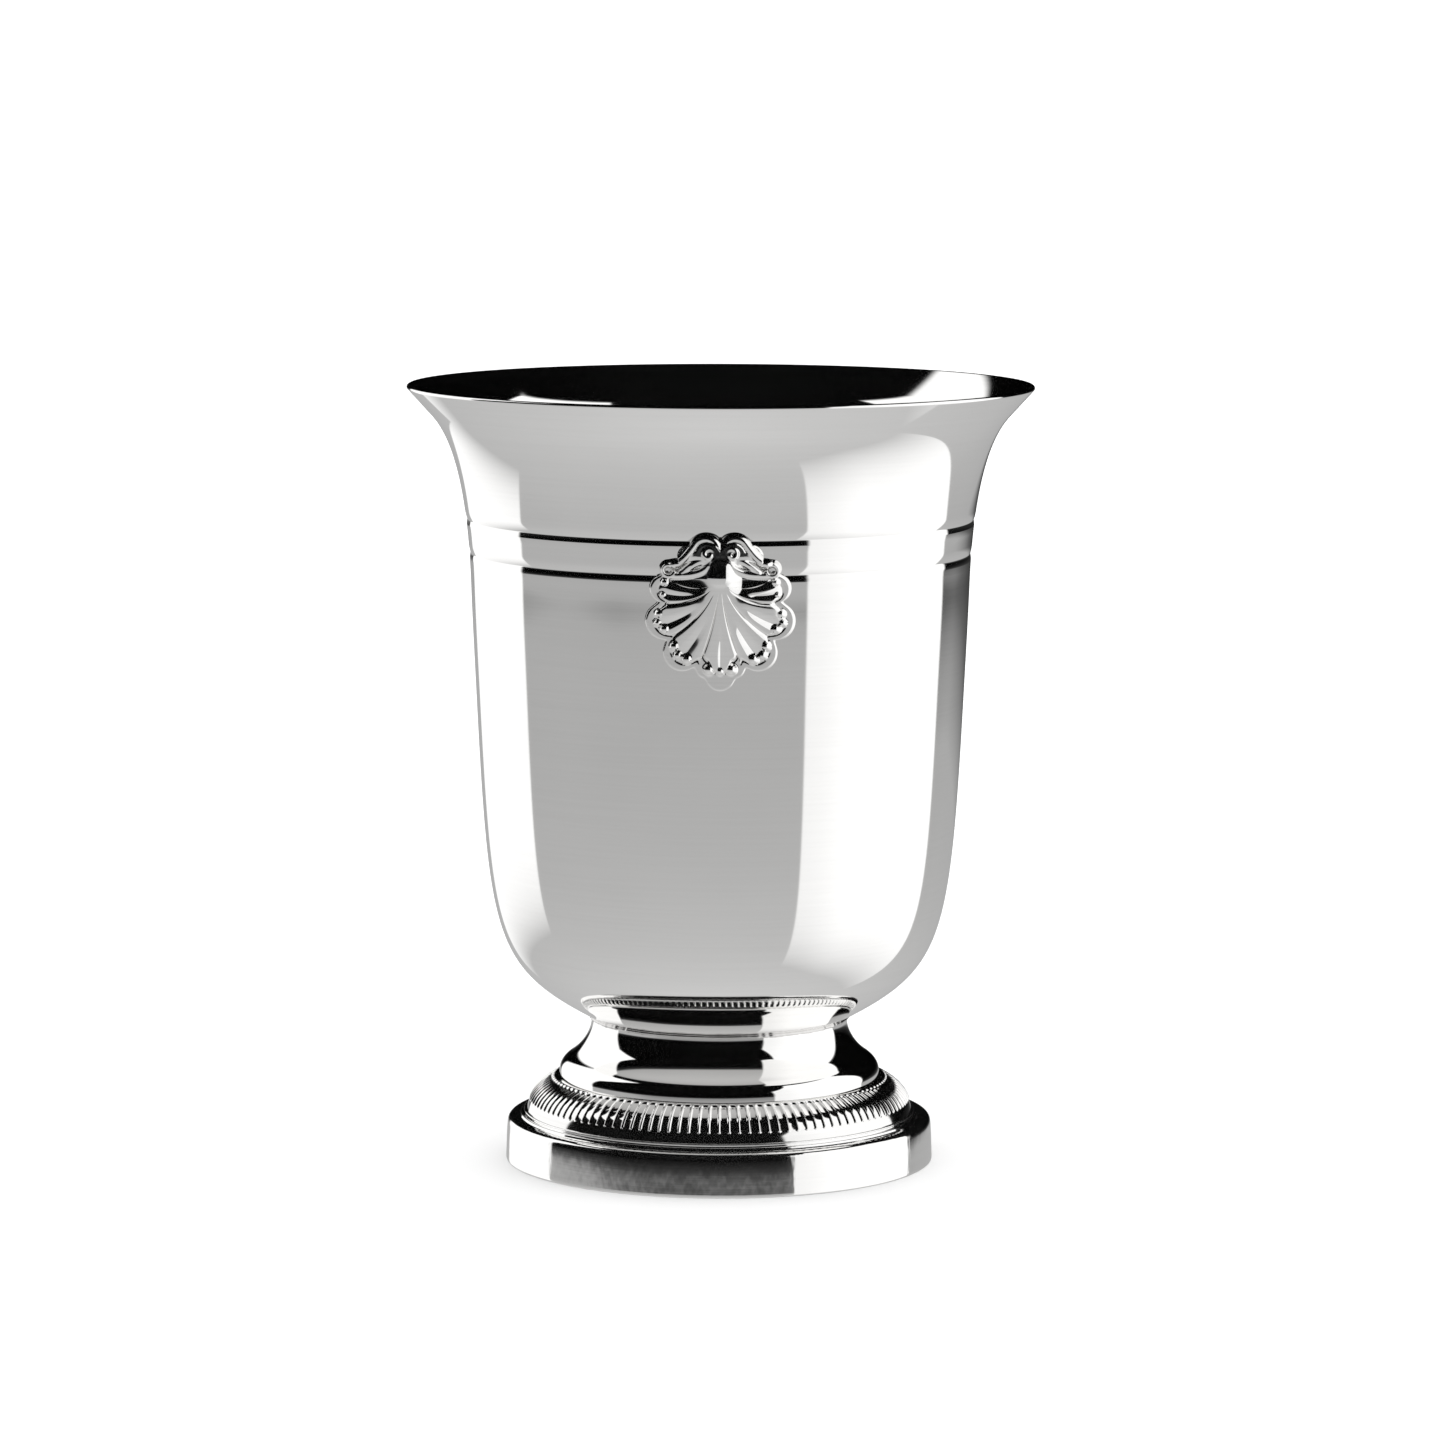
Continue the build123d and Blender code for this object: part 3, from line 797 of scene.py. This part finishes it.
def noise(tree, coordinates, scale, detail=2.0, roughness=0.5):
    """A noise texture's value."""
    node = tree.nodes.new("ShaderNodeTexNoise")
    feed(tree, node.inputs["Vector"], coordinates)
    node.inputs["Scale"].default_value = scale
    node.inputs["Detail"].default_value = detail
    node.inputs["Roughness"].default_value = roughness
    return node.outputs["Fac"]


def stretched(tree, scale):
    """Object coordinates, stretched by a scale for each axis."""
    place = tree.nodes.new("ShaderNodeTexCoord")
    mapping = tree.nodes.new("ShaderNodeMapping")
    tree.links.new(place.outputs["Object"], mapping.inputs["Vector"])
    mapping.inputs["Scale"].default_value = scale
    return mapping.outputs["Vector"]


def between(tree, share, low, high):
    """A number mixed from low to high by a share."""
    node = tree.nodes.new("ShaderNodeMapRange")
    feed(tree, node.inputs["Value"], share)
    node.inputs["To Min"].default_value = low
    node.inputs["To Max"].default_value = high
    return node.outputs["Result"]


def tint(tree, share, first, second):
    """A colour mixed from first to second by a share."""
    node = tree.nodes.new("ShaderNodeMix")
    node.data_type = "RGBA"
    feed(tree, node.inputs["Factor"], share)
    node.inputs["A"].default_value = (*first, 1.0)
    node.inputs["B"].default_value = (*second, 1.0)
    return node.outputs["Result"]


def bumped(tree, height):
    """A normal bumped by a height in metres."""
    node = tree.nodes.new("ShaderNodeBump")
    feed(tree, node.inputs["Height"], height)
    node.inputs["Distance"].default_value = 1.0
    node.inputs["Strength"].default_value = 1.0
    return node.outputs["Normal"]


# ---------------------------------------------------------------- materials
SILVER = (0.95, 0.945, 0.935)
SILVER_WORN = (0.925, 0.92, 0.91)
CAST_WORN = (0.86, 0.855, 0.845)
SOLDER = (0.78, 0.77, 0.76)
SOLDER_WORN = (0.66, 0.65, 0.64)
BRASS = (0.72, 0.56, 0.30)
BRASS_WORN = (0.58, 0.44, 0.22)
STEEL = (0.56, 0.56, 0.57)
STEEL_WORN = (0.42, 0.41, 0.40)

STREAK_STRETCH = (12.0, 12.0, 900.0)  # makes noise into fine level lines
STREAK_SHARE = 0.55  # the cloudy patches have the rest
CLOUD_SCALE = 28.0
WEAR_RANGE = (0.35, 0.7)
ROUGHNESS_SPREAD = (0.6, 1.4)
PATCH_STRETCH = (1.0, 1.0, 0.35)
PATCH_SCALE = 260.0


def metal(name, clean, worn, roughness, streak, bump, patch_bump=0.0):
    """Polished metal with fine lines left by the wheel, cloudier patches and a slight bump."""
    material = bpy.data.materials.new(name)
    tree = new_tree(material)
    shader = tree.nodes.new("ShaderNodeBsdfPrincipled")
    output = tree.nodes.new("ShaderNodeOutputMaterial")
    tree.links.new(shader.outputs[0], output.inputs["Surface"])
    lines = noise(tree, stretched(tree, STREAK_STRETCH), streak, detail=3.0, roughness=0.6)
    clouds = noise(tree, stretched(tree, (1.0, 1.0, 1.0)), CLOUD_SCALE, detail=4.0, roughness=0.55)
    cloud_part = calc(tree, "MULTIPLY", clouds, 1 - STREAK_SHARE)
    mixed = calc(tree, "MULTIPLY_ADD", lines, STREAK_SHARE, cloud_part)
    wear = ease(tree, mixed, *WEAR_RANGE)
    feed(tree, shader.inputs["Base Color"], tint(tree, wear, clean, worn))
    smoothest, roughest = (roughness * share for share in ROUGHNESS_SPREAD)
    feed(tree, shader.inputs["Roughness"], between(tree, mixed, smoothest, roughest))
    shader.inputs["Metallic"].default_value = 1.0
    height = calc(tree, "MULTIPLY", lines, bump)
    if patch_bump:
        patches = noise(tree, stretched(tree, PATCH_STRETCH), PATCH_SCALE)
        height = calc(tree, "MULTIPLY_ADD", patches, patch_bump, height)
    feed(tree, shader.inputs["Normal"], bumped(tree, height))
    return material


def mirror_silver():
    """Mirror polish of the bowl and the pedestal."""
    return metal("mirror_silver", SILVER, SILVER_WORN, roughness=0.05, streak=1.0, bump=0.0000015)


def brushed_silver():
    """Polish of the plinth, a little dulled and uneven from handling."""
    return metal(
        "brushed_silver",
        SILVER,
        SILVER_WORN,
        roughness=0.08,
        streak=1.0,
        bump=0.000003,
        patch_bump=0.00006,
    )


def cast_silver():
    """Polished castings, darker in their patches."""
    return metal("cast_silver", SILVER, CAST_WORN, roughness=0.07, streak=1.0, bump=0.000002)


def dull_solder():
    """Grey solder, left as it flowed."""
    return metal("dull_solder", SOLDER, SOLDER_WORN, roughness=0.22, streak=2.0, bump=0.00003)


def fixing_brass():
    """Plain brass of the bar and the nut."""
    return metal("fixing_brass", BRASS, BRASS_WORN, roughness=0.25, streak=1.5, bump=0.00002)


def fixing_steel():
    """Plain steel of the stud and the washer."""
    return metal("fixing_steel", STEEL, STEEL_WORN, roughness=0.32, streak=1.5, bump=0.00002)


def dress(piece, material):
    """Gives a piece one material."""
    piece.data.materials.clear()
    piece.data.materials.append(material)


def dress_node(node, material):
    """Gives a CAD node's object one material through its slots."""
    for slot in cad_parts[node].material_slots:
        slot.material = material


# ---------------------------------------------------------------- studio
# White panels: (azimuth, lean, where the lean starts) of both sides, then top, foot and its fade
RIGHT_PANEL = ((40.0, 0.9, 25.0), (124.5, 0.0, 0.0), 61.5, -52.0, 34.0)
LEFT_PANEL = ((-159.0, 0.5, 10.0), (-103.0, 0.62, 25.0), 63.5, -26.0, 14.0)
LEFT_LEVEL = 1.1
RIGHT_LEVELS = (0.98, 0.17)  # brightness of the right panel's near side, and what its far side adds
RIGHT_BRIGHTENS = (40.0, 75.0)
PANEL_EDGE = 1.2
PANEL_TOP_FALL = 0.13  # how far a panel's top edge falls for each degree round to the back

# What the silver sees of the pale table: (degrees above the horizon, brightness)
TABLE_LEVELS = (
    (-90.0, 0.64),
    (-50.0, 0.56),
    (-25.0, 0.50),
    (-14.0, 0.45),
    (-10.5, 0.42),
    (-9.5, 0.29),
    (-8.3, 0.10),
    (-7.0, 0.035),
    (-4.0, 0.010),
    (0.0, 0.0),
)

SOFT_LIGHT = 1.5
FLOOR_HALF = 40.0
FLOOR_COLOUR = (0.9, 0.9, 0.9, 1)

CAMERA_PLACE = (0.0002, -1.9, 0.38)
CAMERA_LENS = 148.7
CAMERA_DOWN = 7.16
CAMERA_ROLL = -0.0025

# Where the table's far edge stands higher: (azimuth it starts at, azimuth it is full at, degrees)
TABLE_RISES = ((-45.0, -80.0, 1.3), (-150.0, -165.0, 2.7), (115.0, 140.0, 1.2))


def leaned(tree, azimuth, elevation, lean, start):
    """Azimuth less a lean for each degree of elevation above the start."""
    above = calc(tree, "MAXIMUM", calc(tree, "SUBTRACT", elevation, start), 0.0)
    return calc(tree, "MULTIPLY_ADD", above, -lean, azimuth)


def panel(tree, azimuth, elevation, low_edge, high_edge, top, foot, foot_soft):
    """A white panel's light, with crisp sides and top and a foot that fades away."""
    low, low_lean, low_start = low_edge
    high, high_lean, high_start = high_edge
    low_side = leaned(tree, azimuth, elevation, low_lean, low_start)
    high_side = leaned(tree, azimuth, elevation, high_lean, high_start)
    after = ease(tree, low_side, low - PANEL_EDGE, low + PANEL_EDGE)
    before = ease(tree, high_side, high + PANEL_EDGE, high - PANEL_EDGE)
    rise = ease(tree, elevation, foot - foot_soft, foot + foot_soft)
    behind = calc(tree, "ABSOLUTE", azimuth)
    lifted = calc(tree, "MULTIPLY_ADD", behind, PANEL_TOP_FALL, elevation)
    fall = ease(tree, lifted, top + PANEL_EDGE, top - PANEL_EDGE)
    sides = calc(tree, "MULTIPLY", after, before)
    return calc(tree, "MULTIPLY", sides, calc(tree, "MULTIPLY", rise, fall))


def studio_level(tree, azimuth, elevation):
    """Brightness the silver sees in each direction: dark room, pale table, two white panels."""
    ramp = tree.nodes.new("ShaderNodeValToRGB")
    stops = ramp.color_ramp.elements
    while len(stops) < len(TABLE_LEVELS):
        stops.new(0.5)
    for stop, (angle, level) in zip(stops, TABLE_LEVELS):
        stop.position = (angle + 90) / 180
        stop.color = (level, level, level, 1)
    lowered = elevation
    for start, end, drop in TABLE_RISES:
        side = ease(tree, azimuth, start, end)
        lowered = calc(tree, "MULTIPLY_ADD", side, -drop, lowered)
    feed(tree, ramp.inputs["Fac"], calc(tree, "MULTIPLY_ADD", lowered, 1 / 180, 0.5))
    near_level, far_gain = RIGHT_LEVELS
    glow = calc(tree, "MULTIPLY_ADD", ease(tree, azimuth, *RIGHT_BRIGHTENS), far_gain, near_level)
    right = calc(tree, "MULTIPLY", panel(tree, azimuth, elevation, *RIGHT_PANEL), glow)
    left = calc(tree, "MULTIPLY", panel(tree, azimuth, elevation, *LEFT_PANEL), LEFT_LEVEL)
    return calc(tree, "MAXIMUM", ramp.outputs["Color"], calc(tree, "MAXIMUM", right, left))


def make_world():
    """White surroundings for the eye and for soft light, and the studio for reflections."""
    world = bpy.data.worlds.new("studio")
    bpy.context.scene.world = world
    tree = new_tree(world)
    place = tree.nodes.new("ShaderNodeTexCoord")
    split = tree.nodes.new("ShaderNodeSeparateXYZ")
    tree.links.new(place.outputs["Generated"], split.inputs[0])
    forward = calc(tree, "MULTIPLY", split.outputs["Y"], -1.0)
    azimuth = calc(tree, "DEGREES", calc(tree, "ARCTAN2", split.outputs["X"], forward))
    elevation = calc(tree, "DEGREES", calc(tree, "ARCSINE", split.outputs["Z"]))
    level = studio_level(tree, azimuth, elevation)
    seen = tree.nodes.new("ShaderNodeLightPath")
    plain = tree.nodes.new("ShaderNodeBackground")
    plain.inputs["Color"].default_value = (1, 1, 1, 1)
    plain.inputs["Strength"].default_value = SOFT_LIGHT
    mirrored = tree.nodes.new("ShaderNodeBackground")
    feed(tree, mirrored.inputs["Color"], level)
    mix = tree.nodes.new("ShaderNodeMixShader")
    feed(tree, mix.inputs[0], seen.outputs["Is Glossy Ray"])
    tree.links.new(plain.outputs[0], mix.inputs[1])
    tree.links.new(mirrored.outputs[0], mix.inputs[2])
    output = tree.nodes.new("ShaderNodeOutputWorld")
    tree.links.new(mix.outputs[0], output.inputs["Surface"])


def make_floor():
    """Wide pale floor, hidden from mirrors: the table that the silver sees is in the world."""
    mesh = bpy.data.meshes.new("floor")
    side = FLOOR_HALF
    corners = [(-side, -side, 0), (side, -side, 0), (side, side, 0), (-side, side, 0)]
    mesh.from_pydata(corners, [], [(0, 1, 2, 3)])
    floor = bpy.data.objects.new("floor", mesh)
    bpy.context.scene.collection.objects.link(floor)
    floor.visible_glossy = False
    material = bpy.data.materials.new("pale_floor")
    tree = new_tree(material)
    shader = tree.nodes.new("ShaderNodeBsdfDiffuse")
    shader.inputs["Color"].default_value = FLOOR_COLOUR
    output = tree.nodes.new("ShaderNodeOutputMaterial")
    tree.links.new(shader.outputs[0], output.inputs["Surface"])
    mesh.materials.append(material)


def make_camera():
    """Long lens from the front, a little above the rim and tilted down."""
    data = bpy.data.cameras.new("camera")
    data.sensor_width = 36.0
    data.lens = CAMERA_LENS
    camera = bpy.data.objects.new("camera", data)
    bpy.context.scene.collection.objects.link(camera)
    camera.location = CAMERA_PLACE
    camera.rotation_euler = (math.radians(90 - CAMERA_DOWN), CAMERA_ROLL, 0.0)
    bpy.context.scene.camera = camera


# ---------------------------------------------------------------- put together
silver = mirror_silver()
plinth_silver = brushed_silver()
casting = cast_silver()
solder = dull_solder()
brass = fixing_brass()
steel = fixing_steel()

dress(make_bowl(), silver)
dress(make_pedestal(), silver)
dress(make_plinth(), plinth_silver)
dress(make_gadroon_ring(), casting)
dress(make_neck_bead(), solder)
dress(make_shell("front_scallop", "front_shell", "front_shell_solder", False), casting)
dress(make_shell("rear_scallop", "rear_shell", "rear_shell_solder", True), casting)
for node in ("ledge_solder", "plinth_solder", "stud_solder"):
    dress_node(node, solder)
for node in ("bridge_bar", "foot_nut"):
    dress_node(node, brass)
for node in ("foot_stud", "lock_washer"):
    dress_node(node, steel)

make_world()
make_floor()
make_camera()
bpy.context.scene.view_settings.view_transform = "Standard"
